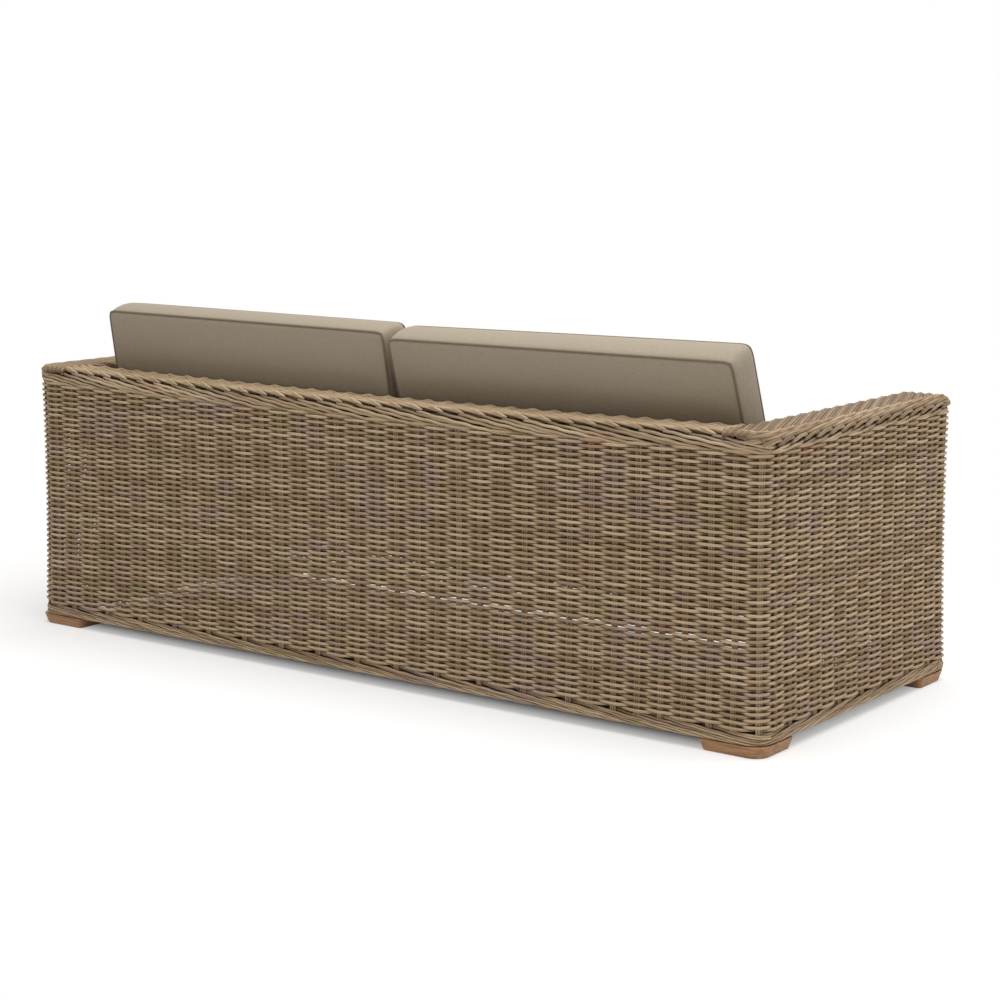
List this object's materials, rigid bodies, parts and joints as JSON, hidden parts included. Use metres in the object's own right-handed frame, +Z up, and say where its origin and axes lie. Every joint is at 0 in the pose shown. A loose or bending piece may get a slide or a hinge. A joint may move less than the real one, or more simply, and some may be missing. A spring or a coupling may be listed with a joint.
{
  "type": "garden sofa",
  "caption": "Wide low garden sofa of round woven wicker over a tube frame, with rolled rims, low wooden feet, loose seat cushions and loose leaning back cushions.",
  "frame": {"origin": "on the floor, under the middle of the plan", "axes": "+Z up, +X to the sitter's left along the sofa, +Y to the rear; the sitter faces -Y"},
  "size_m": [2.09, 0.842, 0.7992],
  "materials": {
    "wicker": "round synthetic wicker in weathered grey-brown, plain weave, matt with a faint sheen",
    "wicker_rim": "the same round wicker laid as rolled strands and flat woven bands",
    "frame_tube": "powder coated brown-grey, satin",
    "teak": "oiled teak, edges rounded",
    "cushion_fabric": "taupe outdoor canvas with darker piping"
  },
  "bodies": {
    "root": {"base_rail_rear": "frame_tube", "base_rail_left": "frame_tube", "base_rail_right": "frame_tube", "base_rail_front": "frame_tube", "top_rail_rear": "frame_tube", "top_rail_left": "frame_tube", "top_rail_right": "frame_tube", "seat_rail_front": "frame_tube", "seat_rail_rear": "frame_tube", "back_rail_inner": "frame_tube", "post_rear_middle": "frame_tube", "post_rear_left": "frame_tube", "post_rear_right": "frame_tube", "post_front_outer_left": "frame_tube", "post_front_outer_right": "frame_tube", "post_front_inner_left": "frame_tube", "post_front_inner_right": "frame_tube", "post_rear_inner_left": "frame_tube", "post_rear_inner_right": "frame_tube", "seat_bar_1": "frame_tube", "seat_bar_2": "frame_tube", "seat_bar_3": "frame_tube", "seat_bar_4": "frame_tube", "seat_bar_5": "frame_tube", "back_stile_left": "frame_tube", "back_stile_middle": "frame_tube", "back_stile_right": "frame_tube", "weave_back_outer": "wicker", "weave_arm_left": "wicker", "weave_arm_right": "wicker", "weave_seat_front": "wicker", "weave_seat_deck": "wicker", "weave_back_rest": "wicker", "rim_band_back": "wicker_rim", "rim_band_left": "wicker_rim", "rim_band_right": "wicker_rim", "rim_roll_back": "wicker_rim", "rim_roll_left": "wicker_rim", "rim_roll_right": "wicker_rim", "border_back": "wicker_rim", "border_left": "wicker_rim", "border_right": "wicker_rim", "border_front": "wicker_rim", "foot_rear_left": "teak", "foot_rear_right": "teak", "foot_front_left": "teak", "foot_front_right": "teak"},
    "seat_cushion_left": {"seat_cushion_left": "cushion_fabric"},
    "seat_cushion_right": {"seat_cushion_right": "cushion_fabric"},
    "back_cushion_left": {"back_cushion_left": "cushion_fabric"},
    "back_cushion_right": {"back_cushion_right": "cushion_fabric"}
  },
  "joints": [
    {"name": "seat_cushion_left_lift", "type": "slide", "parent": "root", "child": "seat_cushion_left", "axis": [0, 0, 1], "range_m": [0, 0.36]},
    {"name": "seat_cushion_right_lift", "type": "slide", "parent": "root", "child": "seat_cushion_right", "axis": [0, 0, 1], "range_m": [0, 0.36]},
    {"name": "back_cushion_left_lift", "type": "slide", "parent": "seat_cushion_left", "child": "back_cushion_left", "axis": [0, 0, 1], "range_m": [0, 0.3]},
    {"name": "back_cushion_right_lift", "type": "slide", "parent": "seat_cushion_right", "child": "back_cushion_right", "axis": [0, 0, 1], "range_m": [0, 0.3]}
  ]
}
